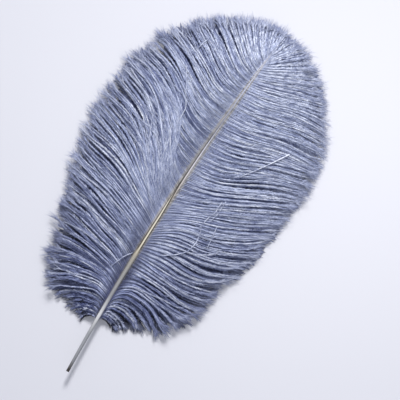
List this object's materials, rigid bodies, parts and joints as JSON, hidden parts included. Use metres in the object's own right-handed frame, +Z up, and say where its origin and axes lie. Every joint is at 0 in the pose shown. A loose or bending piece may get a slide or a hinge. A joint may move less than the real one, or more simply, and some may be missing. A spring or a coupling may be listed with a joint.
{
  "type": "ostrich feather",
  "caption": "Dyed ostrich plume lying flat: a cut hollow quill running on into a grooved rachis, with a wide soft vane of loose curling barbs on each side.",
  "frame": {"origin": "centre of the feather's footprint, on the surface it lies on", "axes": "+Y along the feather from the quill to the tip, +X towards the right vane seen from above, +Z up out of the grooved side of the shaft"},
  "size_m": [0.218, 0.3972, 0.0214],
  "materials": {
    "shaft_keratin": "polished ivory keratin with tan edges, darker at the dyed cut end",
    "dyed_barbs": "soft dyed down, slate lavender, with a faint silky sheen"
  },
  "bodies": {
    "root": {"shaft": "shaft_keratin", "left_vane": "dyed_barbs", "right_vane": "dyed_barbs"}
  },
  "joints": []
}
